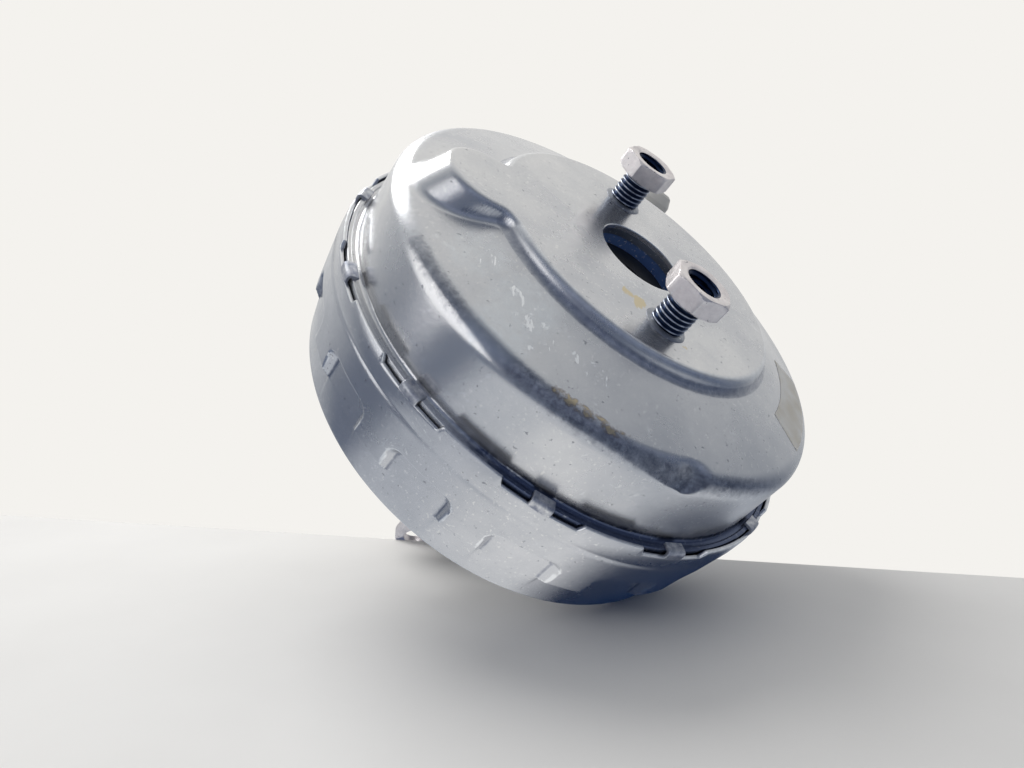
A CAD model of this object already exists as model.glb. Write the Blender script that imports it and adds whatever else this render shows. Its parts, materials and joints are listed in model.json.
import json
import math

import bmesh
import bpy
import numpy as np
from mathutils import Matrix, Vector


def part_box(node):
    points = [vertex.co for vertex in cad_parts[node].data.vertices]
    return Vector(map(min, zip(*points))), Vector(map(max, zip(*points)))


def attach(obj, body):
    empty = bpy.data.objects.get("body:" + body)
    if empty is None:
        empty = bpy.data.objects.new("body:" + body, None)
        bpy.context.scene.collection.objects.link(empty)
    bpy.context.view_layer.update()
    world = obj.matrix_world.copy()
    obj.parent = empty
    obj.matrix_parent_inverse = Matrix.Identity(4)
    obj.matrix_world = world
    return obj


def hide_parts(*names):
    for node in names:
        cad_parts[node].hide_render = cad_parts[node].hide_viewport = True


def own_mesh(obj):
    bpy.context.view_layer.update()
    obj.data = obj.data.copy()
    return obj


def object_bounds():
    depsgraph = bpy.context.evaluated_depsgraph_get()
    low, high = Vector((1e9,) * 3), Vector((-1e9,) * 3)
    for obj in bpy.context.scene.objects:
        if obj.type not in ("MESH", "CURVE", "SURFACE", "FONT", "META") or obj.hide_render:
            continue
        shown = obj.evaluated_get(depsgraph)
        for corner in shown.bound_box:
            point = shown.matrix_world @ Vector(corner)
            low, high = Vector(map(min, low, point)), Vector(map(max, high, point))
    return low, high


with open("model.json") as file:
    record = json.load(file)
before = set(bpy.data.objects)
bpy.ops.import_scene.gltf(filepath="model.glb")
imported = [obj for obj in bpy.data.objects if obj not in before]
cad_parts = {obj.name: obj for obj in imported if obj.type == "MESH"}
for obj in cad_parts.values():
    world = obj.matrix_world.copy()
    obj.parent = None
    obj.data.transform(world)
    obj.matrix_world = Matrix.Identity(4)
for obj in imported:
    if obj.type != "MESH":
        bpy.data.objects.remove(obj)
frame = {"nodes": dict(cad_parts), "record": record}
cad_low, cad_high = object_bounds()


# ---- Bench, backdrop and light
# A used brake booster lies on a pale workshop bench, on the edge of its rear shell and on its fork.
# The bench is one-sided, so that the part can also be seen from below it. Daylight comes from the
# upper left, the side away from the window is a cool blue shade.
BENCH_UP = Vector((0.6556, -0.6624, 0.3626)).normalized()
BACK_EDGE = (Vector((0.0422, 0.2299, 0.1759)), Vector((-0.0683, -0.0783, -0.1873)))   # of the bench
BENCH_REACH = 3.0
EYE = Vector((-0.2173, -0.1877, 0.1310))
EYE_RIGHT = Vector((-0.05597, -0.52147, -0.85143))
EYE_UP = Vector((0.68144, -0.64322, 0.34915))
LENS_MM, SENSOR_MM = 26.36, 36.0
LENS_SHIFT = (0.0121, -0.0093)
NEAREST, FARTHEST = 0.01, 20.0
# What polished steel shows of the bench: a dark spot of shade, and pale rings round the window's glow.
SHADE_PLACE, SHADE_REACH, SHADE_TONE = Vector((-0.072, -0.008, -0.050)), (0.041, 0.060), "#132849"
GLOW_PLACE, GLOW_REACH = Vector((-0.117, -0.011, 0.021)), 0.25
GLOW_STOPS = ((0.1, "#FFFFFF"), (0.24, "#D3D7DD"), (0.58, "#CBD0D8"), (0.9, "#56637C"))
GLOW_STRENGTH = 0.95
# The sky from its dark side to the bright one, and the plain backdrop that the eye sees.
SKY_STOPS = ((0.05, "#1F3358"), (0.3, "#7B86A0"), (0.56, "#6F7889"), (0.74, "#C6C9CD"), (0.93, "#F6F5F3"))
SKY_STRENGTH, BACKDROP = 0.92, "#F4F2EE"
LAMP_DISTANCE = 0.75
LAMPS = (("window", -0.42, 0.9, -0.3, 0.5, 3.4, "#FFFFFF"),
         ("door", -0.8, 0.2, 0.56, 0.8, 2.0, "#F6F3EE"))


def colour(code):
    """An sRGB hex colour as linear red, green, blue and alpha."""
    parts = [int(code[i:i + 2], 16) / 255 for i in (1, 3, 5)]
    return [p / 12.92 if p <= 0.04045 else ((p + 0.055) / 1.055) ** 2.4 for p in parts] + [1.0]


def link_in(name, data):
    """A mesh, lamp or camera as an object in the scene."""
    made = bpy.data.objects.new(name, data)
    bpy.context.scene.collection.objects.link(made)
    return made


def add(tree, kind, inputs=None, **settings):
    """A node with its settings; each input, by name or number, gets a value or a link from a socket."""
    made = tree.nodes.new(kind)
    for name, value in settings.items():
        setattr(made, name, value)
    for key, value in (inputs or {}).items():
        if isinstance(value, bpy.types.NodeSocket):
            tree.links.new(value, made.inputs[key])
        else:
            made.inputs[key].default_value = value
    return made


def maths(tree, operation, *values):
    """The result of one arithmetic node."""
    return add(tree, "ShaderNodeMath", dict(enumerate(values)), operation=operation).outputs[0]


def noise(tree, place, scale, detail, **more):
    """A noise value from 0 to 1."""
    return add(tree, "ShaderNodeTexNoise", {"Vector": place, "Scale": scale, "Detail": detail,
                                            **more}).outputs["Fac"]


def ranged(tree, value, low=0.0, high=1.0, first=0.0, last=1.0):
    """A value from first to last as another passes from low to high."""
    return add(tree, "ShaderNodeMapRange", {"Value": value, "From Min": low, "From Max": high,
                                            "To Min": first, "To Max": last}).outputs["Result"]


def mixed(tree, share, one, other):
    """A colour between two."""
    return add(tree, "ShaderNodeMix", {"Factor": share, "A": one, "B": other},
               data_type="RGBA").outputs["Result"]


def through(tree, value, stops):
    """A colour that passes through (position, tone) stops."""
    ramp = add(tree, "ShaderNodeValToRGB", {"Fac": value})
    elements = ramp.color_ramp.elements
    for element, (position, tone) in zip(elements, (stops[0], stops[-1])):
        element.position, element.color = position, colour(tone)
    for position, tone in stops[1:-1]:
        elements.new(position).color = colour(tone)
    return ramp.outputs["Color"]


def new_material(name):
    """An empty material, its node tree and each point's place on the object."""
    material = bpy.data.materials.new(name)
    material.use_nodes = True
    tree = material.node_tree
    tree.nodes.clear()
    return material, tree, add(tree, "ShaderNodeTexCoord").outputs["Object"]


def finished(tree, base, rough, metallic=0.0, relief=None):
    """Ends a material with one shader; relief is the height, strength and distance of its fine bump."""
    inputs = {"Base Color": base, "Roughness": rough, "Metallic": metallic}
    if relief:
        inputs["Normal"] = add(tree, "ShaderNodeBump",
                               dict(zip(("Height", "Strength", "Distance"), relief))).outputs[0]
    shader = add(tree, "ShaderNodeBsdfPrincipled", inputs)
    add(tree, "ShaderNodeOutputMaterial", {"Surface": shader.outputs[0]})


camera_data = bpy.data.cameras.new("eye")
camera_data.lens, camera_data.sensor_width = LENS_MM, SENSOR_MM
camera_data.shift_x, camera_data.shift_y = LENS_SHIFT
camera_data.clip_start, camera_data.clip_end = NEAREST, FARTHEST
camera = link_in("eye", camera_data)
eye_back = EYE_RIGHT.cross(EYE_UP).normalized()
camera.matrix_world = Matrix.Translation(EYE) @ Matrix((EYE_RIGHT, EYE_UP, eye_back)).transposed().to_4x4()
bpy.context.scene.camera = camera
bpy.context.scene.view_settings.view_transform = "Standard"

along_back = (BACK_EDGE[1] - BACK_EDGE[0]).normalized()
to_eye = along_back.cross(BENCH_UP)
if to_eye.dot(EYE - BACK_EDGE[0]) < 0:
    to_eye.negate()
bench_mesh = bpy.data.meshes.new("bench")
bench_mesh.from_pydata([BACK_EDGE[0] + along_back * BENCH_REACH * u + to_eye * BENCH_REACH * v
                        for u, v in ((-1, 0), (-1, 1), (1, 1), (1, 0))], [], [(0, 1, 2, 3)])
bench = link_in("bench", bench_mesh)

bench_material, tree, place = new_material("worn_white_bench")
plain = mixed(tree, noise(tree, place, 14.0, 8.0), colour("#DCDAD6"), colour("#E8E6E2"))
top = add(tree, "ShaderNodeBsdfPrincipled", {"Base Color": plain, "Roughness": 0.6})
from_shade, from_glow = (add(tree, "ShaderNodeVectorMath", {0: place, 1: point}, operation="DISTANCE")
                         .outputs["Value"] for point in (SHADE_PLACE, GLOW_PLACE))
glow = through(tree, ranged(tree, from_glow, high=GLOW_REACH), GLOW_STOPS)
mirrored = mixed(tree, ranged(tree, from_shade, *SHADE_REACH), colour(SHADE_TONE), glow)
pale = add(tree, "ShaderNodeEmission", {"Color": mirrored, "Strength": GLOW_STRENGTH})
glossy = add(tree, "ShaderNodeLightPath").outputs["Is Glossy Ray"]
top = add(tree, "ShaderNodeMixShader", {0: glossy, 1: top.outputs[0], 2: pale.outputs[0]})
under = add(tree, "ShaderNodeBsdfTransparent")
below = add(tree, "ShaderNodeNewGeometry").outputs["Backfacing"]
both = add(tree, "ShaderNodeMixShader", {0: below, 1: top.outputs[0], 2: under.outputs[0]})
add(tree, "ShaderNodeOutputMaterial", {"Surface": both.outputs[0]})
bench_mesh.materials.append(bench_material)

world = bpy.data.worlds.new("daylight")
world.use_nodes = True
tree = world.node_tree
tree.nodes.clear()
bpy.context.scene.world = world
bright_way = (EYE_RIGHT * 0.05 + EYE_UP * 0.72 - eye_back * 0.69).normalized()
toward = add(tree, "ShaderNodeVectorMath", {0: add(tree, "ShaderNodeTexCoord").outputs["Generated"],
                                            1: bright_way}, operation="DOT_PRODUCT").outputs["Value"]
sky = through(tree, ranged(tree, toward, -1.0), SKY_STOPS)
lit = add(tree, "ShaderNodeBackground", {"Color": sky, "Strength": SKY_STRENGTH})
seen = add(tree, "ShaderNodeBackground", {"Color": colour(BACKDROP), "Strength": 1.0})
looked_at = add(tree, "ShaderNodeLightPath").outputs["Is Camera Ray"]
pick = add(tree, "ShaderNodeMixShader", {0: looked_at, 1: lit.outputs[0], 2: seen.outputs[0]})
add(tree, "ShaderNodeOutputWorld", {"Surface": pick.outputs[0]})

middle = (cad_low + cad_high) / 2
for name, across, above, behind, size, power, tint in LAMPS:
    lamp = bpy.data.lights.new(name, "AREA")
    lamp.shape, lamp.size, lamp.energy = "DISK", size, power
    lamp.color = colour(tint)[:3]
    holder = link_in(name, lamp)
    way = (EYE_RIGHT * across + EYE_UP * above + eye_back * behind).normalized()
    holder.location = middle + way * LAMP_DISTANCE
    holder.rotation_mode = "QUATERNION"
    holder.rotation_quaternion = way.to_track_quat("Z", "Y")


# ---- Front shell
# The front half of the housing, deep-drawn from 1.8 mm sheet and zinc-plated: a flat face with a lobe
# for the cylinder's reservoir side, an S-shaped step down to a falling land, a round shoulder and a
# wall that turns out into the crimped flange. Handling has scuffed it and rubbed one shoulder flat.
MM = 0.001
PILOT_RADIUS = 16.7
SHEET = 1.8
FACE = -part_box("front_shell")[0].y / MM
PLATEAU_RADIUS = 56.2
STEP_DROP, STEP_RUN = 4.5, 2.1
LAND_SLOPE = 0.29
LIP_BEND, FOOT_BEND = 2.6, 3.0
LOBE_HALF, LOBE_CENTRE = 16.1, 60.5
LOBE_DRAFT, LOBE_SIDE_RUN, LOBE_TIP_RUN = 14.0, 1.4, 9.0
LOBE_START = 30.0
NEAR_CORNER, FAR_CORNER = 4.6, 1.2
SHOULDER_RADIUS, SHOULDER_BEND = 88.7, 7.2
WALL_RADIUS, FLANGE_FACE, FLANGE_BEND = 89.2, 52.5, 1.6
HEM_START, HEM_HEIGHT, FLANGE_RADIUS = 91.5, 0.7, 93.1
LAND_TOP = FACE - STEP_DROP
LAND_START = PLATEAU_RADIUS + STEP_RUN
PILOT_EDGE = 0.25
STUD_PLACES = (-38.0, 38.0)
SKIP = 4   # fine columns of a shell's outside to one of its inside
SHARP = 38


def rounded(corners, steps=8):
    """Points of an outline through (radius, height, bend) corners, with each bend as an arc."""
    points = [np.array(corners[0][:2], float)]
    for before, corner, after in zip(corners, corners[1:], corners[2:]):
        tip, bend = np.array(corner[:2], float), corner[2]
        back = np.array(before[:2]) - tip
        ahead = np.array(after[:2]) - tip
        back, ahead = back / np.linalg.norm(back), ahead / np.linalg.norm(ahead)
        half = math.acos(np.clip(back @ ahead, -1, 1)) / 2
        if bend == 0 or half > 1.55:
            points.append(tip)
            continue
        middle = tip + (back + ahead) / np.linalg.norm(back + ahead) * bend / math.sin(half)
        start = tip + back * bend / math.tan(half) - middle
        turn = math.pi - 2 * half
        sign = math.copysign(1, back[0] * ahead[1] - back[1] * ahead[0])
        for i in range(steps + 1):
            a = -sign * turn * i / steps
            points.append(middle + np.array((start[0] * math.cos(a) - start[1] * math.sin(a),
                                             start[0] * math.sin(a) + start[1] * math.cos(a))))
    points.append(np.array(corners[-1][:2], float))
    return points


LOBE_MERGE, NOWHERE = 6.0, 50.0


def raised(x, y, base):
    """Height of the face, its lobe and the step round them, over land of a given height."""
    radius = np.hypot(x, y)
    off_round = radius - PLATEAU_RADIUS
    off_lobe = np.where(y > LOBE_CENTRE, np.hypot(x, y - LOBE_CENTRE), np.abs(x)) - LOBE_HALF
    off_lobe = np.where(y < LOBE_START, NOWHERE, off_lobe)
    corner = np.where(x < 0, NEAR_CORNER, FAR_CORNER)
    off = np.maximum(corner, np.minimum(off_round, off_lobe)) - np.hypot(
        np.maximum(corner - off_round, 0), np.maximum(corner - off_lobe, 0))
    toward_tip = np.clip((y - LOBE_CENTRE) / np.maximum(np.hypot(x, y - LOBE_CENTRE), 1e-6), 0, 1)
    lobe_fall = LOBE_DRAFT / (LOBE_SIDE_RUN + (LOBE_TIP_RUN - LOBE_SIDE_RUN) * toward_tip)
    share = np.clip((off_round - off_lobe) / LOBE_MERGE + 0.5, 0, 1)
    angle = np.arctan(STEP_DROP / STEP_RUN) * (1 - share) + np.arctan(lobe_fall) * share
    fall = np.tan(angle)
    reach = off + LIP_BEND * np.tan(angle / 2)
    lip = FACE - LIP_BEND + np.sqrt(np.maximum(LIP_BEND ** 2 - np.clip(reach, 0, LIP_BEND) ** 2, 0))
    wall = np.where(reach < LIP_BEND * np.sin(angle), lip, FACE - fall * off)
    steep = fall - LAND_SLOPE
    foot_angle = np.arctan(steep)
    past = -(wall - base) / steep - FOOT_BEND * np.tan(foot_angle / 2)
    bend = FOOT_BEND - np.sqrt(np.maximum(FOOT_BEND ** 2 - np.clip(past, -FOOT_BEND, 0) ** 2, 0))
    foot = np.where(past > 0, 0, np.where(past < -FOOT_BEND * np.sin(foot_angle), wall - base, bend))
    return base + foot


RUB_ANGLES = (118, 130, 138, 153, 161, 167, 171, 175, 180, 185, 188, 191)
RUB_EDGES = (88.9, 88.0, 87.4, 86.6, 86.2, 85.6, 85.0, 84.2, 83.1, 82.6, 84.5, 88.9)
RUB_FALL, RUB_SOFT, RUB_START, RUB_FULL = 1.15, 1.0, 80.0, 1.2
NO_RUB = 200.0   # a radius beyond the shell, for the angles that nothing has rubbed
DIMPLE_ANGLE, DIMPLE_PLACE, DIMPLE_RADIUS, DIMPLE_DEPTH = 185.7, (86.2, 78.2), 5.6, 1.3


def softly_lower(a, b, reach):
    """The lower of two values, with a rounded meeting."""
    h = np.clip(0.5 + (b - a) / (2 * reach), 0, 1)
    return b * (1 - h) + a * h - reach * h * (1 - h)


def rubbed(radius, height, angle):
    """Height after the shoulder's flattened stretch and the round dimple at its end; also how much."""
    edge = np.interp(angle, RUB_ANGLES, RUB_EDGES, left=NO_RUB, right=NO_RUB)
    cut = LAND_TOP - LAND_SLOPE * (edge - LAND_START) - RUB_FALL * (radius - edge)
    low = np.minimum(softly_lower(height, cut, RUB_SOFT), height)
    low = np.where((edge < NO_RUB) & (radius > RUB_START), low, height)
    turn = np.radians(angle - DIMPLE_ANGLE)
    gap = np.sqrt((radius * np.cos(turn) - DIMPLE_PLACE[0]) ** 2 + (radius * np.sin(turn)) ** 2
                  + (low - DIMPLE_PLACE[1]) ** 2)
    dent = DIMPLE_DEPTH * np.clip(1 - (gap / DIMPLE_RADIUS) ** 2, 0, 1) ** 0.8
    return low - dent, np.clip((height - low) / RUB_FULL, 0, 1) + dent / DIMPLE_DEPTH


def ring_points(radius, height, angles):
    """A ring of points about the booster's axis, in metres, in the part's frame."""
    radius, height = np.broadcast_to(radius, angles.shape), np.broadcast_to(height, angles.shape)
    turn = np.radians(angles)
    return np.stack((radius * np.cos(turn), -height, radius * np.sin(turn)), 1) * MM


def band(first, second, count):
    """Faces between two closed rows of points, which start at these numbers."""
    return [(first + i, first + (i + 1) % count, second + (i + 1) % count, second + i) for i in range(count)]


def closed_mesh(name, points, faces, sharp=None, weld=None):
    """A mesh with its faces turned outwards, and smooth below the sharp angle where one is given."""
    mesh = bpy.data.meshes.new(name)
    mesh.from_pydata(points, [], faces)
    work = bmesh.new()
    work.from_mesh(mesh)
    if weld:
        bmesh.ops.remove_doubles(work, verts=work.verts, dist=weld)
    bmesh.ops.recalc_face_normals(work, faces=work.faces)
    work.to_mesh(mesh)
    work.free()
    if sharp:
        for polygon in mesh.polygons:
            polygon.use_smooth = True
        mesh.set_sharp_from_angle(angle=math.radians(sharp))
    return mesh


def shell_of(name, outer, inner):
    """A closed shell from fine outer rings and coarse inner ones, which take every SKIP-th column."""
    columns = len(outer[0])
    few = columns // SKIP
    base = len(outer) * columns
    faces = []
    for row in range(len(outer) - 1):
        faces += band(row * columns, (row + 1) * columns, columns)
    for row in range(len(inner) - 1):
        faces += band(base + row * few, base + (row + 1) * few, few)
    for fine, coarse in ((len(outer) - 1, 0), (0, len(inner) - 1)):
        for i in range(few):
            edge = [fine * columns + (i * SKIP + k) % columns for k in range(SKIP + 1)]
            faces.append(tuple(edge + [base + coarse * few + (i + 1) % few, base + coarse * few + i]))
    return link_in(name, closed_mesh(name, np.concatenate(list(outer) + list(inner)), faces, SHARP))


LOBE_SECTOR = (66.0, 114.0)
fine_angles = np.arange(LOBE_SECTOR[0], LOBE_SECTOR[1], 0.3)
wide_angles = np.linspace(LOBE_SECTOR[1], LOBE_SECTOR[0] + 360, 216, endpoint=False)
front_angles = np.concatenate((fine_angles, wide_angles))
front_angles = front_angles[:len(front_angles) // SKIP * SKIP]
face_radii = np.concatenate(((PILOT_RADIUS, PILOT_RADIUS + PILOT_EDGE, 18, 22, 27, 32, 37, 42, 46, 50),
                             np.arange(52, 62, 0.4), np.arange(62, 72, 0.8), np.arange(72, 83.4, 0.4)))
shoulder_height = LAND_TOP - LAND_SLOPE * (SHOULDER_RADIUS - LAND_START)
outside = rounded([(LAND_START, LAND_TOP, 0), (SHOULDER_RADIUS, shoulder_height, SHOULDER_BEND),
                   (WALL_RADIUS, FLANGE_FACE, FLANGE_BEND), (HEM_START, FLANGE_FACE, 0.3),
                   (HEM_START + 0.2, FLANGE_FACE + HEM_HEIGHT, 0.25),
                   (FLANGE_RADIUS, FLANGE_FACE + HEM_HEIGHT, 0.25),
                   (FLANGE_RADIUS, FLANGE_FACE - SHEET, 0)], 12)
outer_rings, rub_marks = [], []
turn = np.radians(front_angles)
for radius in face_radii:
    land = LAND_TOP - LAND_SLOPE * (max(radius, LAND_START) - LAND_START)
    height = raised(radius * np.cos(turn), radius * np.sin(turn), np.full(len(turn), land))
    if radius == PILOT_RADIUS:
        height = height - PILOT_EDGE
    height, mark = rubbed(radius, height, front_angles % 360)
    outer_rings.append(ring_points(radius, height, front_angles))
    rub_marks.append(mark)
LONG_STEP, SHORT_STEP = 4.0, 1.6
STEP_OUT, STEP_DOWN = 88.0, 6.0   # the lobe's foot reaches no further over the shoulder
previous = None
for point in outside[1:]:
    steps = [point]
    if previous is not None and np.linalg.norm(point - previous) > LONG_STEP:
        count = int(np.linalg.norm(point - previous) // SHORT_STEP)
        steps = [previous + (point - previous) * (i + 1) / count for i in range(count)]
    for radius, land in steps:
        height = np.full(len(turn), land)
        if radius < STEP_OUT and land > shoulder_height - STEP_DOWN:
            height = raised(radius * np.cos(turn), radius * np.sin(turn), height)
        height, mark = rubbed(radius, height, front_angles % 360)
        outer_rings.append(ring_points(radius, height, front_angles))
        rub_marks.append(mark)
    previous = point
few_angles = front_angles[::SKIP]
inside = [(FLANGE_RADIUS - 0.3, FLANGE_FACE - SHEET), (WALL_RADIUS - SHEET, FLANGE_FACE - SHEET),
          (SHOULDER_RADIUS - SHEET - 0.4, shoulder_height - 10), (SHOULDER_RADIUS - 8, shoulder_height - 4),
          (LAND_START, LAND_TOP - 2.2), (PLATEAU_RADIUS - 4, FACE - SHEET - 1),
          (PLATEAU_RADIUS - 6, FACE - SHEET), (PILOT_RADIUS, FACE - SHEET)]
inner_rings = [ring_points(radius, height, few_angles) for radius, height in inside]
front_skin = shell_of("front_shell_pressing", outer_rings, inner_rings)


def keep_mark(mesh, name, values):
    """Stores one number at each point, for a material to read."""
    marks = mesh.attributes.new(name, "FLOAT", "POINT")
    full = np.zeros(len(mesh.vertices), np.float32)
    full[:len(values)] = values
    marks.data.foreach_set("value", full)


def rises(value, low, span):
    """0 up to a value of low, 1 from low + span on, and evenly between."""
    return np.clip((value - low) / span, 0, 1)


def patches(where, spots):
    """How much of each point lies in soft round patches given as (centre, radius, amount)."""
    amount = np.zeros(len(where))
    for centre, reach, most in spots:
        off = np.linalg.norm(where - np.array(centre), axis=1) / reach
        amount = np.maximum(amount, most * np.clip(2 - 2 * off, 0, 1))
    return amount


skin = np.concatenate(outer_rings) / MM
skin_tall = -skin[:, 1]
skin_angle = np.degrees(np.arctan2(skin[:, 2], skin[:, 0])) % 360
skin_radius = np.hypot(skin[:, 0], skin[:, 2])
SCUFF_ANGLES = (104, 112, 150, 196, 214, 232)
SCUFF_PLACES = (86.5, 86.2, 86.0, 86.3, 87.0, 87.4)
SCUFF_AMOUNT = (0, 0.72, 0.9, 0.9, 0.5, 0)
SCUFF_TALL, SCUFF_FLATTEN, SCUFF_REACH = 77.8, 0.55, 2.7
off_scuff = np.hypot(skin_radius - np.interp(skin_angle, SCUFF_ANGLES, SCUFF_PLACES),
                     (skin_tall - SCUFF_TALL) * SCUFF_FLATTEN)
scuffed = np.interp(skin_angle, SCUFF_ANGLES, SCUFF_AMOUNT, left=0, right=0) * np.clip(
    1.5 - off_scuff / SCUFF_REACH, 0, 1)
MOST_RUBBED = 0.92
keep_mark(front_skin.data, "rub", np.clip(
    np.maximum(scuffed, np.concatenate(rub_marks) * 0.8), 0, MOST_RUBBED))
RUST_ANGLES, RUST_AMOUNT, RUST_PLACE, RUST_REACH = (146, 154, 166, 184), (0, 1, 0.95, 0), (84.0, 80.3), 2.6
off_rust = np.hypot(skin_radius - RUST_PLACE[0], skin_tall - RUST_PLACE[1]) / RUST_REACH
keep_mark(front_skin.data, "rust", np.clip(1.5 - off_rust, 0, 1) * np.interp(
    skin_angle, RUST_ANGLES, RUST_AMOUNT, left=0, right=0))
PAINT_SPOTS = (((-29.0, -92.9, 12.9), 3.4, 1), ((-30.3, -92.9, 8.4), 3.6, 1),
               ((-34.0, -92.9, 10.6), 2.6, 0.9), ((-39.0, -92.9, 9.4), 2.4, 0.8),
               ((-28.0, -92.9, -8.0), 2.0, 0.7), ((-46.5, -92.9, -6.0), 2.4, 0.7))
SEAT_RADIUS, SEAT_WIDTH, SEAT_AMOUNT = 9.1, 1.3, 0.62   # paint left round the near stud's foot
SEAT_TALL, SEAT_SIDE = 92, -24
from_stud = np.hypot(skin[:, 0] - STUD_PLACES[0], skin[:, 2])
chips = np.clip(1 - np.abs(from_stud - SEAT_RADIUS) / SEAT_WIDTH, 0, 1) * SEAT_AMOUNT
chips = np.where((skin_tall > SEAT_TALL) & (skin[:, 0] < SEAT_SIDE), chips, 0)
keep_mark(front_skin.data, "paint", np.maximum(patches(skin, PAINT_SPOTS), chips))
CHIP_SPOTS = (((-45, -85.5, 52), 3.4, 1), ((-55.3, -84, 47.9), 3.6, 1), ((-58.3, -83.5, 46.2), 3.2, 0.9),
              ((-55.5, -85.6, 43), 2.6, 1), ((-63.7, -81.2, 46.7), 3.0, 1), ((-62, -85.8, 33.5), 2.4, 1),
              ((-63.7, -85.6, 32.1), 2.6, 1), ((-50, -85, 50), 9, 0.84), ((-60, -83, 40), 8, 0.83),
              ((-66, -83, 26), 9, 0.8), ((-36, -85.5, 60), 8, 0.8))
keep_mark(front_skin.data, "chips", patches(skin, CHIP_SPOTS))
HAZE_SPOTS = (((-33, -85.5, 63), 16, 0.7), ((-61, -81.7, 55.8), 15, 0.9), ((-50, -85, 49), 18, 0.8))
keep_mark(front_skin.data, "haze", patches(skin, HAZE_SPOTS))
YELLOW_SPOTS = (((-22.1, -90.6, -54.7), 2.6, 1),)
keep_mark(front_skin.data, "yellow", patches(skin, YELLOW_SPOTS))
GROOVE_RADIUS, GROOVE_TALL = 88.6, 55.8
GROOVE_ANGLES, GROOVE_AMOUNT = (95, 140, 158, 262, 290), (0.3, 0.35, 1, 1, 0.4)
groove = rises(skin_radius, GROOVE_RADIUS, 0.8) * (1 - rises(skin_tall, GROOVE_TALL - 1.6, 1.6))
keep_mark(front_skin.data, "grime", groove * np.interp(
    skin_angle, GROOVE_ANGLES, GROOVE_AMOUNT, left=GROOVE_AMOUNT[0], right=GROOVE_AMOUNT[-1]))
EDGE_RADIUS_END, BEND_ZONE = 17.6, 71   # the hole's bare edge, and how far out the bends are marked
pilot_edge = 1 - rises(skin_radius, EDGE_RADIUS_END - 0.4, 0.4)
tall = skin_tall.reshape(len(outer_rings), -1)
across = skin_radius.reshape(len(outer_rings), -1)
turning = np.zeros_like(tall)
gap_in, gap_out = across[1:-1] - across[:-2], across[2:] - across[1:-1]
even = (np.abs(gap_in - gap_out) < 0.05) & (gap_in > 0.3) & (across[1:-1] < BEND_ZONE)
turning[1:-1] = np.where(even, (tall[1:-1] - (tall[:-2] + tall[2:]) / 2) / np.maximum(gap_in, 0.3) ** 2, 0)
lip_line = rises(turning.ravel(), 0.1, 0.12) * 0.72
keep_mark(front_skin.data, "edge", np.maximum(pilot_edge, lip_line))
keep_mark(front_skin.data, "foot", rises(-turning.ravel(), 0.08, 0.1))
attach(front_skin, "housing")
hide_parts("front_shell")


STROKE_TURN, STROKE_STRETCH = (0.3, 0.2, 0.5), (190.0, 520.0, 900.0)


def marked(tree, name):
    """The number that keep_mark() stored at each point under this name."""
    return add(tree, "ShaderNodeAttribute", attribute_name=name).outputs["Fac"]


def plated_steel(name, light, dark, rough, metallic=0.85, grain=0.5, cloud=22.0, pits=0.5, worn=(),
                 lines=0.5, strokes=None):
    """Zinc-plated steel: satin, with clouds of handling haze, pits and scratches; worn names its marks."""
    material, tree, place = new_material(name)
    haze = noise(tree, place, cloud, 6.0, Roughness=0.62)
    ragged = noise(tree, place, 380.0, 6.0, Roughness=0.7)
    base = mixed(tree, ranged(tree, haze, 0.32, 0.68), colour(dark), colour(light))

    def over(tint, value, low, high, most):
        """The base with a colour over it, from none to most as the value passes from low to high."""
        return mixed(tree, ranged(tree, value, low, high, last=most), base, colour(tint))

    base = over("#4A5260", noise(tree, place, 650.0, 3.0), 0.67, 0.74, pits)
    base = over("#E8E8E6", noise(tree, place, 900.0, 2.0), 0.63, 0.7, 0.6)
    off_line = maths(tree, "ADD", noise(tree, place, 55.0, 1.0, Distortion=1.4), -0.5)
    thin = ranged(tree, maths(tree, "ABSOLUTE", off_line), 0.012, 0.002, last=lines)
    scratch = maths(tree, "MULTIPLY", thin, ranged(tree, ragged, 0.52, 0.6))
    base = mixed(tree, scratch, base, colour("#E6E8EA"))
    for mark, tint, floor, ceiling, most in worn:
        base = over(tint, maths(tree, "MULTIPLY", marked(tree, mark), ragged), floor, ceiling, most)
    if strokes:
        way = add(tree, "ShaderNodeMapping", {"Vector": place, "Rotation": STROKE_TURN,
                                              "Scale": STROKE_STRETCH}).outputs[0]
        dash = maths(tree, "MULTIPLY", noise(tree, way, 1.0, 1.0), marked(tree, strokes))
        base = over("#FAFBFB", dash, 0.52, 0.56, 0.95)
    shine = ranged(tree, haze, 0.3, 0.7, rough + 0.1, rough - 0.05)
    finished(tree, base, shine, metallic, (ragged, grain * 0.16, 0.0004))
    return material


# Marks in the order they were made: name, colour, where the ragged edge starts and ends, and the most.
FRONT_WEAR = (("rub", "#4A5163", 0.22, 0.56, 0.75), ("rub", "#B9BCC6", 0.6, 0.64, 0.8),
              ("rust", "#857463", 0.4, 0.5, 0.6), ("rust", "#D3C3A0", 0.5, 0.55, 0.75),
              ("grime", "#2E4063", 0.18, 0.42, 0.92), ("grime", "#A4A9B2", 0.62, 0.68, 0.4),
              ("haze", "#E4EAEE", 0.2, 0.6, 0.5), ("chips", "#F4F6F7", 0.5, 0.54, 0.92),
              ("paint", "#CDBF9C", 0.3, 0.38, 0.94), ("yellow", "#D8C566", 0.3, 0.4, 0.9),
              ("foot", "#59627A", 0.2, 0.6, 0.5), ("edge", "#E8EAEC", 0.2, 0.45, 0.75))
front_skin.data.materials.append(plated_steel("zinc_plated_deep_drawn_steel", "#DCDCDC", "#C4C6CA", 0.23,
                                              worn=FRONT_WEAR, strokes="chips"))


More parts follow.
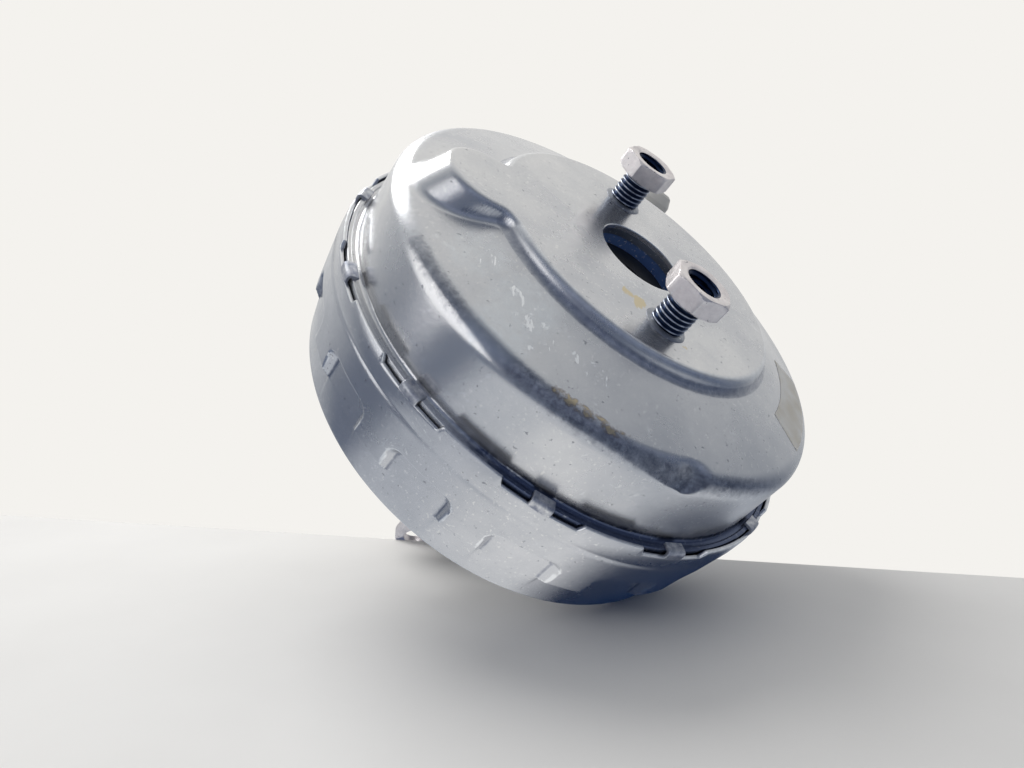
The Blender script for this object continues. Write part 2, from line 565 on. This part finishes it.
# ---- Rear shell
# The rear half, drawn deeper: a stepped wall with fifteen pressed pockets behind the crease, a band
# and a back that slopes to the flat mounting face and the neck. Its rim wraps the front shell's
# flange and is cut down in twelve places for the tongues that are folded over it.
RIM_RADIUS, RIM_HEIGHT = 95.0, 54.0
LEDGE_HEIGHT, LEDGE_STEP = 46.3, 0.35
CREASE_RADIUS, CREASE_HEIGHT = 93.0, 23.5
BAND_RADIUS, BAND_HEIGHT = 90.5, 21.3
EDGE_RADIUS, EDGE_HEIGHT, EDGE_BEND = 88.1, 6.8, 4.0
REAR_FLAT_RADIUS, NECK_RADIUS, NECK_LENGTH, NECK_LIP = 60.0, 26.0, 20.0, 5.0
POCKETS, POCKET_PHASE, POCKET_HALF, POCKET_TOP, POCKET_CORNER = 15, 0.6, 10.3, 31.6, 2.2
TABS, TAB_PHASE, NOTCH_HALF, NOTCH_DROP = 12, 13.8, 8.2, 2.5
RIM_WALL, RIM_BORE, REAR_BORE = 1.5, 88.6, 88.4

rear_angles = np.arange(0, 360, 0.4)
rear_profile = rounded([(NECK_RADIUS - NECK_LIP, -NECK_LENGTH, 0), (NECK_RADIUS, -NECK_LENGTH, 2.2),
                        (NECK_RADIUS, 0, 2.2), (REAR_FLAT_RADIUS, 0, 6.0),
                        (EDGE_RADIUS, EDGE_HEIGHT, EDGE_BEND), (BAND_RADIUS, BAND_HEIGHT, 0.3)], 6)
rear_profile += [np.array((BAND_RADIUS, BAND_HEIGHT))]
wall_heights = np.concatenate((np.arange(BAND_HEIGHT, CREASE_HEIGHT, 0.35),
                               np.arange(CREASE_HEIGHT, 35.5, 0.42), (37.5, 40, 43, 44.6)))


def off_nearest(angles, count, phase):
    """Degrees from each angle to the nearest of count evenly spaced places."""
    pitch = 360 / count
    return np.abs((angles - phase + pitch / 2) % pitch - pitch / 2)


def wall_radius(height, angles):
    """Radius of the wall in front of the band, with the pockets pressed into it."""
    plain = CREASE_RADIUS + (RIM_RADIUS - CREASE_RADIUS) * (height - CREASE_HEIGHT) / (
        LEDGE_HEIGHT - CREASE_HEIGHT)
    bevel = BAND_RADIUS + (height - BAND_HEIGHT) * (CREASE_RADIUS - BAND_RADIUS) / (
        CREASE_HEIGHT - BAND_HEIGHT)
    plain = softly_lower(np.full(len(angles), plain), np.full(len(angles), bevel), 0.22)
    along = off_nearest(angles, POCKETS, POCKET_PHASE) * math.pi / 180 * BAND_RADIUS
    across = np.maximum(along - POCKET_HALF + POCKET_CORNER, 0)
    above = np.maximum(height - POCKET_TOP + POCKET_CORNER, 0)
    outside_floor = np.maximum(np.hypot(across, above) - POCKET_CORNER, 0)
    return softly_lower(plain, BAND_RADIUS + outside_floor * 1.2, 0.24)


def rim_top(angles):
    """Height of the rim's edge, lower round each tongue."""
    off = off_nearest(angles, TABS, TAB_PHASE)
    return RIM_HEIGHT - NOTCH_DROP * np.clip((NOTCH_HALF + 0.3 - off) / 0.6, 0, 1)


outer_rings = [ring_points(radius, height, rear_angles) for radius, height in rear_profile[:-1]]
for height in wall_heights[1:]:
    outer_rings.append(ring_points(wall_radius(height, rear_angles), height, rear_angles))
for inwards, height in ((LEDGE_STEP, 45.0), (LEDGE_STEP - 0.1, 45.5), (0.15, LEDGE_HEIGHT),
                        (0, LEDGE_HEIGHT + 0.4), (0, RIM_HEIGHT - NOTCH_DROP - 1)):
    outer_rings.append(ring_points(RIM_RADIUS - inwards, height, rear_angles))
edge = rim_top(rear_angles)
for inwards, drop in ((0, 0.4), (0.12, 0.12), (0.4, 0), (RIM_WALL - 0.3, 0), (RIM_WALL, 0.3),
                      (RIM_WALL, 2.4)):
    outer_rings.append(ring_points(RIM_RADIUS - inwards, edge - drop, rear_angles))
few_angles = rear_angles[::SKIP]
inside = [(RIM_RADIUS - SHEET, 49.0), (RIM_RADIUS - SHEET, LEDGE_HEIGHT + SHEET),
          (RIM_BORE, LEDGE_HEIGHT - 1), (REAR_BORE, BAND_HEIGHT), (EDGE_RADIUS - 2.2, EDGE_HEIGHT + 2.5),
          (REAR_FLAT_RADIUS, SHEET), (NECK_RADIUS - SHEET, SHEET), (NECK_RADIUS - SHEET, SHEET - NECK_LENGTH),
          (NECK_RADIUS - NECK_LIP, SHEET - NECK_LENGTH)]
inner_rings = [ring_points(radius, height, few_angles) for radius, height in inside]
rear_skin = shell_of("rear_shell_pressing", outer_rings, inner_rings)
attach(rear_skin, "housing")
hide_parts("rear_shell")
rear_places = np.concatenate(outer_rings) / MM
rear_radius = np.hypot(rear_places[:, 0], rear_places[:, 2])
rear_tall = -rear_places[:, 1]
top_edge = rises(rear_tall, np.tile(edge, len(outer_rings)) - 0.25, 0.15)
wide = rear_radius.reshape(len(outer_rings), -1)
level = rear_tall.reshape(len(outer_rings), -1)
round_off = np.zeros_like(wide)
beside = (np.roll(wide, 1, 1) + np.roll(wide, -1, 1)) / 2
round_off[1:-1] = wide[1:-1] - (beside[1:-1] + (wide[:-2] + wide[2:]) / 2) / 2
round_off = np.where((level > BAND_HEIGHT + 0.2) & (level < 35), round_off, 0).ravel()
CREASED, CREASE_SPAN = 0.015, 0.05
keep_mark(rear_skin.data, "edge", np.maximum(top_edge * (rear_radius > RIM_RADIUS - 1),
                                             rises(round_off, CREASED, CREASE_SPAN) * 0.9))
keep_mark(rear_skin.data, "foot", rises(-round_off, CREASED, CREASE_SPAN))
keep_mark(rear_skin.data, "grime", (1 - rises(rear_radius, RIM_RADIUS - 1.4, 0.1)) * (
    rear_tall > LEDGE_HEIGHT + 0.7))
rear_steel = plated_steel("zinc_plated_drawn_steel_rear", "#D3D4D7", "#B8BBC0", 0.22, lines=0.3, worn=(
    ("grime", "#22304C", 0.15, 0.4, 0.95), ("foot", "#525C74", 0.15, 0.5, 0.6),
    ("edge", "#ECEEF0", 0.2, 0.45, 0.85)))
rear_skin.data.materials.append(rear_steel)


# ---- Folded tongues
# Twelve tongues of the rear shell's rim, cut free at both sides and folded inwards over the front
# shell's flange; they lock the two halves together. The folding die has scraped them bright.
TONGUE_HALF, TONGUE_REACH, TONGUE_SHEET = 2.25, 4.0, 1.1
TONGUE_TOP, TONGUE_FOOT = FLANGE_FACE + HEM_HEIGHT + TONGUE_SHEET, 50.6


def new_tree(name, sizes):
    """An empty geometry tree with a geometry and one named input for each size."""
    tree = bpy.data.node_groups.new(name, "GeometryNodeTree")
    tree.interface.new_socket("Geometry", in_out="INPUT", socket_type="NodeSocketGeometry")
    for label, kind in sizes.items():
        tree.interface.new_socket(label, in_out="INPUT", socket_type="NodeSocket" + kind)
    tree.interface.new_socket("Geometry", in_out="OUTPUT", socket_type="NodeSocketGeometry")
    return tree, tree.nodes.new("NodeGroupInput").outputs


def grown(name, tree, values, start=None):
    """The plain mesh that a geometry tree gives for these named sizes."""
    source = link_in(name + "_source", start or bpy.data.meshes.new(name + "_start"))
    modifier = source.modifiers.new("shape", "NODES")
    modifier.node_group = tree
    for item in tree.interface.items_tree:
        if item.in_out == "INPUT" and item.name in values:
            modifier[item.identifier] = values[item.name]
    bpy.context.view_layer.update()
    graph = bpy.context.evaluated_depsgraph_get()
    mesh = bpy.data.meshes.new_from_object(source.evaluated_get(graph))
    mesh.name = name
    bpy.data.objects.remove(source)
    finish = [m for m in mesh.materials if m is not None][-1]
    mesh.materials.clear()
    mesh.materials.append(finish)
    mesh.polygons.foreach_set("material_index", [0] * len(mesh.polygons))
    return mesh


def closed_strip(name, sections):
    """A bar from closed cross-sections with equal numbers of points, with both ends filled."""
    count = len(sections[0])
    last = (len(sections) - 1) * count
    faces = [face for start in range(0, last, count) for face in band(start, start + count, count)]
    faces += [tuple(range(count)), tuple(reversed(range(last, last + count)))]
    return closed_mesh(name, [tuple(p) for section in sections for p in section], faces)


tongue_profile = rounded([(RIM_RADIUS, TONGUE_FOOT, 0), (RIM_RADIUS, TONGUE_TOP, 1.5),
                          (RIM_RADIUS - TONGUE_REACH, TONGUE_TOP - 0.1, 0)], 6)
tongue_profile += rounded([(RIM_RADIUS - TONGUE_REACH, TONGUE_TOP - TONGUE_SHEET - 0.1, 0),
                           (RIM_RADIUS - TONGUE_SHEET, TONGUE_TOP - TONGUE_SHEET, 0.4),
                           (RIM_RADIUS - TONGUE_SHEET, TONGUE_FOOT, 0)], 4)
tongue_sections = []
for off, pull in ((-1, 0.22), (-0.94, 0.05), (-0.5, 0), (0, 0), (0.5, 0), (0.94, 0.05), (1, 0.22)):
    turn = math.radians(off * TONGUE_HALF)
    shrunk = [(r - pull * (1 if r > RIM_RADIUS - 0.6 else 0), h - pull * (1 if h > TONGUE_TOP - 0.6 else 0))
              for r, h in tongue_profile]
    tongue_sections.append([(r * math.cos(turn) * MM, -h * MM, r * math.sin(turn) * MM) for r, h in shrunk])
tongue = closed_strip("tongue", tongue_sections)

tree, given = new_tree("round_the_rim", {"Count": "Int", "First": "Float", "Finish": "Material"})
dots = add(tree, "GeometryNodePoints", {"Count": given["Count"]})
share = maths(tree, "DIVIDE", add(tree, "GeometryNodeInputIndex").outputs[0], given["Count"])
angle = maths(tree, "MULTIPLY_ADD", share, -2 * math.pi, given["First"])
turn = add(tree, "ShaderNodeCombineXYZ", {"Y": angle})
copies = add(tree, "GeometryNodeInstanceOnPoints", {"Points": dots.outputs[0], "Instance": given["Geometry"],
                                                    "Rotation": turn.outputs[0]})
real = add(tree, "GeometryNodeRealizeInstances", {0: copies.outputs[0]})
paint = add(tree, "GeometryNodeSetMaterial", {"Geometry": real.outputs[0], "Material": given["Finish"]})
add(tree, "NodeGroupOutput", {0: paint.outputs[0]})
round_the_rim = tree
scraped = plated_steel("scraped_zinc_plate", "#D2D3D5", "#83899A", 0.42, grain=2.5, cloud=420.0, pits=0.9)
tongues = link_in("folded_tongues", grown("folded_tongues", round_the_rim, {
    "Count": TABS, "First": -math.radians(TAB_PHASE), "Finish": scraped}, tongue))
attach(tongues, "housing")


# ---- Front studs
# Two M12 studs pressed through the front shell from inside, zinc-plated and oily: dark grooves, bright
# crests. Each stands on a small staked collar and ends a third of the way up its nut.
STUD_RADIUS, STUD_PITCH, STUD_DEPTH = 6.0, 1.75, 0.95
STUD_LOW, STUD_HIGH = FACE - 1.0, FACE + 14.0
ROWS_PER_TURN, THREAD_SIDES = 10, 48

tree, given = new_tree("screw_thread", {"Radius": "Float", "Length": "Float", "Pitch": "Float",
                                        "Depth": "Float", "Rows": "Int", "Finish": "Material"})
sheet = add(tree, "GeometryNodeMeshGrid", {"Size X": 1.0, "Size Y": 1.0, "Vertices X": given["Rows"],
                                           "Vertices Y": THREAD_SIDES + 1})
here = add(tree, "ShaderNodeSeparateXYZ", {0: add(tree, "GeometryNodeInputPosition").outputs[0]})


def sums(operation, *values):
    """One arithmetic node of the thread's tree."""
    return maths(tree, operation, *values)


height = sums("MULTIPLY", sums("ADD", here.outputs["X"], 0.5), given["Length"])
wind = sums("ADD", here.outputs["Y"], 0.5)
phase = sums("FRACT", sums("ADD", sums("DIVIDE", height, given["Pitch"]), wind))
crest = ranged(tree, sums("ABSOLUTE", sums("SUBTRACT", sums("MULTIPLY", phase, 2.0), 1.0)), 0.1, 0.85)
from_end = sums("MINIMUM", height, sums("SUBTRACT", given["Length"], height))
fade = ranged(tree, from_end, high=sums("MULTIPLY", given["Pitch"], 0.8))
lift = sums("MULTIPLY", sums("MULTIPLY", crest, fade), given["Depth"])
body_radius = sums("ADD", sums("SUBTRACT", given["Radius"], given["Depth"]), lift)
ends = sums("GREATER_THAN", from_end, 1e-6)
reach = sums("MULTIPLY", body_radius, ends)
turn = sums("MULTIPLY", wind, -2 * math.pi)
spot = add(tree, "ShaderNodeCombineXYZ", {"X": sums("MULTIPLY", reach, sums("COSINE", turn)),
                                          "Y": sums("MULTIPLY", reach, sums("SINE", turn)), "Z": height})
keep = add(tree, "GeometryNodeStoreNamedAttribute",
           {"Geometry": sheet.outputs[0], "Name": "crest", "Value": crest}, data_type="FLOAT", domain="POINT")
moved = add(tree, "GeometryNodeSetPosition", {"Geometry": keep.outputs[0], "Position": spot.outputs[0]})
sewn = add(tree, "GeometryNodeMergeByDistance", {"Geometry": moved.outputs[0], "Distance": 1e-6})
soft = add(tree, "GeometryNodeSetShadeSmooth", {0: sewn.outputs[0]})
paint = add(tree, "GeometryNodeSetMaterial", {"Geometry": soft.outputs[0], "Material": given["Finish"]})
add(tree, "NodeGroupOutput", {0: paint.outputs[0]})
screw_thread = tree


def threaded(name, radius, length, pitch, depth, finish):
    """A closed threaded bar of that length in millimetres, standing up from the origin."""
    rows = int(length / pitch * ROWS_PER_TURN) + 1
    return grown(name, screw_thread, {"Radius": radius * MM, "Length": length * MM, "Pitch": pitch * MM,
                                      "Depth": depth * MM, "Rows": rows, "Finish": finish})


def lathe(name, profile, finish, columns=64, sharp=SHARP):
    """A closed turned piece about its own upright axis, from a closed (radius, height) outline."""
    turns = [2 * math.pi * i / columns for i in range(columns)]
    points = [(max(r, 0.01) * math.cos(turn) * MM, max(r, 0.01) * math.sin(turn) * MM, h * MM)
              for r, h in profile for turn in turns]
    faces = [face for row in range(len(profile))
             for face in band(row * columns, (row + 1) % len(profile) * columns, columns)]
    mesh = closed_mesh(name, points, faces, sharp, weld=3e-5)
    mesh.materials.append(finish)
    return mesh


def forward_at(x, y, low):
    """Stands an upright piece on the booster, pointing to the front, at a height in millimetres."""
    return Matrix(((1, 0, 0, x * MM), (0, 0, -1, -low * MM), (0, 1, 0, y * MM), (0, 0, 0, 1)))


def backward_at(x, y, low):
    """The same, pointing to the rear."""
    return Matrix(((1, 0, 0, x * MM), (0, 0, 1, -low * MM), (0, -1, 0, y * MM), (0, 0, 0, 1)))


def set_together(name, parts):
    """One object from several meshes, each with its place."""
    work = bmesh.new()
    finishes = []
    for mesh, place in parts:
        start = len(work.faces)
        copy = mesh.copy()
        copy.transform(place)
        for finish in mesh.materials:
            if finish not in finishes:
                finishes.append(finish)
        work.from_mesh(copy)
        work.faces.ensure_lookup_table()
        for face in work.faces[start:]:
            face.material_index = finishes.index(mesh.materials[face.material_index])
        bpy.data.meshes.remove(copy)
    whole = bpy.data.meshes.new(name)
    work.to_mesh(whole)
    work.free()
    for finish in finishes:
        whole.materials.append(finish)
    return link_in(name, whole)


def worn_thread_steel(name, groove, crest_tone):
    """Zinc-plated thread: old oil and dirt in the groove, bare bright metal on the crest."""
    material, tree, place = new_material(name)
    grime = noise(tree, place, 420.0, 4.0)
    ragged = maths(tree, "MULTIPLY", marked(tree, "crest"), ranged(tree, grime, 0.3, 0.7, 0.75, 1.0))
    base = mixed(tree, ranged(tree, ragged, 0.62, 0.9), colour(groove), colour(crest_tone))
    finished(tree, base, 0.32, 0.85, (grime, 0.2, 0.0002))
    return material


thread_steel = worn_thread_steel("oiled_zinc_plated_thread", "#22324F", "#D3DAE6")
plain_steel = plated_steel("plain_zinc_plated_steel", "#A9ACB2", "#878C96", 0.33, cloud=120.0)
stud_thread = threaded("stud_thread", STUD_RADIUS, STUD_HIGH - STUD_LOW, STUD_PITCH, STUD_DEPTH, thread_steel)
stud_collar = lathe("stud_collar", [(5.6, 0), (7.6, 0), (7.4, 0.25), (6.9, 0.4), (6.5, 0.7), (5.6, 0.8)],
                    plain_steel)
stud_head = lathe("stud_head", [(0, -7.3), (9.6, -7.3), (10, -6.9), (10, -4.3), (6.4, -4.3), (6.4, -1),
                                (0, -1)], plain_steel)
stud_parts = []
for x in STUD_PLACES:
    stud_parts += [(stud_thread, forward_at(x, 0, STUD_LOW)), (stud_collar, forward_at(x, 0, FACE)),
                   (stud_head, forward_at(x, 0, FACE))]
studs = set_together("front_studs_threaded", stud_parts)
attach(studs, "housing")
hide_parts("front_studs")


# ---- Front nuts
# Two thin M12 hexagon nuts, 19 mm across flats, run on to the ends of the studs so that they aren't
# lost: cold-formed, chamfered at both ends, pale zinc plate rubbed bright along the edges.
NUT_FLATS, NUT_TALL, NUT_STAND, NUT_CHAMFER = 19.0, 7.0, 11.7, 1.3
NUT_BORE, NUT_THREAD = 6.05, 0.8
NUT_TURNS = (12.0, 47.0)
CHAMFER_RISES, CHAMFER_END, CHAMFER_SLOPE = (0, 0.15, 0.4, 0.7, 1.0, 1.3), 1.8, 1.73
MOUTH, NUT_SHARP = 0.9, 24


def hex_nut(name, finish, columns=144):
    """A hexagon nut standing up from the origin, with chamfered corners and a threaded bore."""
    turn = np.arange(columns) * 2 * math.pi / columns
    off = (turn + math.pi / 6) % (math.pi / 3) - math.pi / 6
    corner = NUT_FLATS / 2 / math.cos(math.pi / 6)
    flat = softly_lower(NUT_FLATS / 2 / np.cos(off), np.full(columns, corner - 0.12), 0.25)
    rings = []

    def ring_at(radius, height):
        rings.append(np.stack((radius * np.cos(turn), radius * np.sin(turn), np.full(columns, height)), 1))

    def chamfered(rise):
        return np.minimum(flat - (0.25 if rise == 0 else 0),
                          corner - NUT_CHAMFER + rise * CHAMFER_SLOPE - 0.1)

    for rise in CHAMFER_RISES:
        ring_at(chamfered(rise), rise)
    for height in np.linspace(CHAMFER_END, NUT_TALL - CHAMFER_END, 5):
        ring_at(flat, height)
    for rise in reversed(CHAMFER_RISES):
        ring_at(chamfered(rise), NUT_TALL - rise)
    ring_at(np.full(columns, NUT_BORE + MOUTH), NUT_TALL)
    for height in np.arange(NUT_TALL - 0.35, 0.3, -STUD_PITCH / 8):
        phase = (height / STUD_PITCH - turn / (2 * math.pi)) % 1
        open_end = 1 - rises(min(height, NUT_TALL - height), 0, MOUTH)
        crest = np.clip(np.abs(phase * 2 - 1) * 1.3 - 0.15, 0, 1)
        ring_at(NUT_BORE - NUT_THREAD * crest * (1 - open_end) + 0.5 * open_end, height)
    ring_at(np.full(columns, NUT_BORE + MOUTH), 0)
    faces = [face for row in range(len(rings))
             for face in band(row * columns, (row + 1) % len(rings) * columns, columns)]
    mesh = closed_mesh(name, np.concatenate(rings) * MM, faces, NUT_SHARP)
    mesh.materials.append(finish)
    mesh.materials.append(thread_steel)
    for polygon in mesh.polygons:
        if math.hypot(polygon.center.x, polygon.center.y) < (NUT_BORE + 0.4) * MM:
            polygon.material_index = 1
    return mesh


nut_steel = plated_steel("pale_zinc_plated_nut_steel", "#F1EBE9", "#D6D0D0", 0.36, grain=1.0, cloud=220.0,
                         pits=0.8)
nut = hex_nut("nut", nut_steel)
nuts = set_together("front_nuts_hexagon", [(nut, forward_at(x, 0, FACE + NUT_STAND) @ Matrix.Rotation(
    math.radians(turn), 4, "Z")) for x, turn in zip(STUD_PLACES, NUT_TURNS)])
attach(nuts, "housing")
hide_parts("front_nuts")


# ---- Rear studs
# Four M8 studs pressed through the rear shell and its inner ring, which carry the booster on the
# bulkhead. Same plate as the front ones, cleaner because the bulkhead covered their feet.
REAR_STUDS = [(x, y) for x in (-40.0, 40.0) for y in (-30.0, 30.0)]
REAR_RADIUS, REAR_LENGTH, REAR_PITCH, REAR_DEPTH = 4.0, 22.5, 1.25, 0.68
THREAD_START, HEAD_START = 0.5, 6.0
rear_thread = threaded("rear_thread", REAR_RADIUS, REAR_LENGTH, REAR_PITCH, REAR_DEPTH, thread_steel)
rear_head = lathe("rear_head", [(0, 0), (7.2, 0), (7.5, 0.3), (7.5, 2.2), (4.4, 2.2), (4.4, 6.0), (0, 6.0)],
                  plain_steel, 48)
rear_parts = []
for x, y in REAR_STUDS:
    rear_parts += [(rear_thread, backward_at(x, y, THREAD_START)), (rear_head, backward_at(x, y, HEAD_START))]
rear_studs = set_together("rear_studs_threaded", rear_parts)
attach(rear_studs, "housing")
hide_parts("rear_studs")


# ---- Dust boot
# Moulded black rubber bellows on the neck, which keep road dirt from the valve body. The collar grips
# the neck, the folds close up as the piston goes forward, and the nose grips the input rod.
BOOT_WALL, BOOT_VALLEY, BOOT_PEAK, BOOT_FOLDS = 1.5, 23.1, 29.6, 4
BOOT_TOP, BOOT_NECK, BOOT_BACK, BOOT_END = -11.0, -21.6, -56.4, -61.0
BOOT_MOUTH, NOSE_REACH = 7.4, 10.8   # the mouth clears the rod when it tilts, and the nose covers it


def moulded(name, tone, other, rough, cloud=(45.0, 4.0), spread=(0.0, 1.0), fine=900.0, bump=0.1):
    """Moulded rubber, plastic or felt: clouded by a second tone, with a fine grain."""
    material, tree, place = new_material(name)
    share = ranged(tree, noise(tree, place, *cloud), *spread)
    base = mixed(tree, share, colour(tone), colour(other))
    finished(tree, base, rough, relief=(noise(tree, place, fine, 2.0), bump, 0.0002))
    return material


# Black rubber, dull, and chalky where it has weathered.
boot_rubber = moulded("weathered_black_rubber", "#17181A", "#34363A", 0.62, (60.0, 6.0), (0.4, 0.75),
                      1400.0, 0.15)
fold = (BOOT_BACK + 3.2 - BOOT_NECK) / BOOT_FOLDS
crests = [(26.2, BOOT_NECK + 1.5, 0), (27.2, BOOT_NECK, 0.8)]
for i in range(BOOT_FOLDS):
    crests += [(BOOT_VALLEY, BOOT_NECK + fold * (i + 0.15), 1.0),
               (BOOT_PEAK, BOOT_NECK + fold * (i + 0.6), 1.3)]
crests += [(22.0, BOOT_BACK + 3.0, 2.0), (8.9, BOOT_BACK, 0.8), (BOOT_MOUTH, BOOT_BACK - 0.2, 0)]
boot_out = rounded(crests, 5)
boot_in = [(max(r - BOOT_WALL * 0.9, BOOT_MOUTH), h + 0.7) for r, h in reversed(boot_out)]
bellows, collar, nose = (
    set_together("boot_" + name, [(lathe(name, outline, boot_rubber, columns, sharp), forward_at(0, 0, 0))])
    for name, columns, sharp, outline in (
        ("bellows", 96, 60, [tuple(p) for p in boot_out] + boot_in),
        ("collar", 96, SHARP, [
            (26.0, BOOT_TOP), (27.3, BOOT_TOP), (27.6, BOOT_TOP - 0.3), (27.6, BOOT_TOP - 2.4),
            (28.3, BOOT_TOP - 3.0), (28.3, BOOT_TOP - 5.0), (27.6, BOOT_TOP - 5.6), (27.6, BOOT_NECK + 0.4),
            (27.2, BOOT_NECK - 0.2), (26.0, BOOT_NECK - 0.2)]),
        ("nose", 64, SHARP, [
            (4.0, BOOT_BACK - 0.9), (NOSE_REACH, BOOT_BACK - 0.9), (NOSE_REACH, BOOT_BACK - 1.4),
            (6.5, BOOT_BACK - 1.8), (6.2, BOOT_END + 0.4), (5.8, BOOT_END), (4.0, BOOT_END)])))
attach(bellows, "housing")
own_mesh(bellows)
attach(collar, "housing")
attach(nose, "input_rod")
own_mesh(nose)
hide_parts("dust_boot")


# ---- Blank label
# The maker's sticker on the far side of the land, left without any print: varnished paper, yellowed,
# with its edges lifted and dirty.
LABEL_ARC, LABEL_BAND, LABEL_THICK = (229.0, 262.0), (70.0, 84.0), 0.12
label_sections = []
for turn in np.linspace(math.radians(LABEL_ARC[0]), math.radians(LABEL_ARC[1]), 34):
    section = []
    for lifted in (0.02, LABEL_THICK):
        radii = np.linspace(*LABEL_BAND, 8)
        for radius in (radii if lifted < 0.05 else radii[::-1]):
            land = LAND_TOP - LAND_SLOPE * (radius - LAND_START) + lifted
            section.append((radius * math.cos(turn) * MM, -land * MM, radius * math.sin(turn) * MM))
    label_sections.append(section)
label_mesh = closed_strip("blank_label", label_sections)
label = link_in("blank_label", label_mesh)
label_paper, tree, place = new_material("yellowed_varnished_paper")
aged = ranged(tree, noise(tree, place, 110.0, 6.0), 0.4, 0.66)
finished(tree, mixed(tree, aged, colour("#EFEBE1"), colour("#DED6C4")), 0.45)
label_mesh.materials.append(label_paper)
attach(label, "housing")


# ---- Working springs and diaphragm
# The three springs that a moving piece shortens: the big one ahead of the piston, the one round the
# rod's tail and the small one in the check valve. The diaphragm's outer bead stays in the rim while
# its middle goes forward with the piston.
spring_wire_steel = plated_steel("oiled_spring_wire", "#6B6E74", "#4D5056", 0.35)


def closing(node, name, body, look):
    """A soft piece that stays on one body and closes up towards its fixed end as the joint moves."""
    mesh = frame["nodes"][node].data.copy()
    work = bmesh.new()
    work.from_mesh(mesh)
    bmesh.ops.remove_doubles(work, verts=work.verts, dist=1e-6)
    work.to_mesh(mesh)
    work.free()
    mesh.materials.clear()
    mesh.materials.append(look)
    piece = link_in(name, mesh)
    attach(piece, body)
    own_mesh(piece)
    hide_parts(node)


for node, body, joint in (("return_spring", "housing", "piston_slide"),
                          ("rod_return_spring", "power_piston", "plunger_slide")):
    closing(node, node + "_wound", body,
            spring_wire_steel)
closing("check_valve_spring", "check_valve_spring_wound", "housing",
        spring_wire_steel)
closing("diaphragm", "diaphragm_rolling", "housing",
        boot_rubber)


# ---- Pieces that keep their machined shape
# Plates, rods, springs, valve and fork are left as they were turned, stamped or moulded; each takes
# the finish of its own material.
FINISHES = {
    "shell_zinc": rear_steel,
    "pressed_steel": plated_steel("plain_pressed_steel", "#8E949E", "#707784", 0.38),
    "dark_steel": plated_steel("phosphated_steel", "#6788C2", "#4A689F", 0.4, metallic=0.3),
    "stud_steel": plain_steel,
    "nut_steel": nut_steel,
    "spring_steel": spring_wire_steel,
    "black_rubber": boot_rubber,
    "dark_plastic": moulded("black_phenolic_moulding", "#1B1B1E", "#26262A", 0.5),
    "pale_plastic": moulded("natural_nylon_moulding", "#DDD8CB", "#E6E2D8", 0.48),
    "felt": moulded("grey_wool_felt", "#5B574F", "#464239", 0.95),
    "foam": moulded("charcoal_foam", "#232326", "#303034", 0.95),
}
slots = {part["node"]: part["material_slot"] for part in frame["record"]["subparts"]}
for name, piece in frame["nodes"].items():
    if piece.hide_render:
        continue
    piece.data.materials.clear()
    piece.data.materials.append(FINISHES[slots[name]])

bpy.context.view_layer.update()
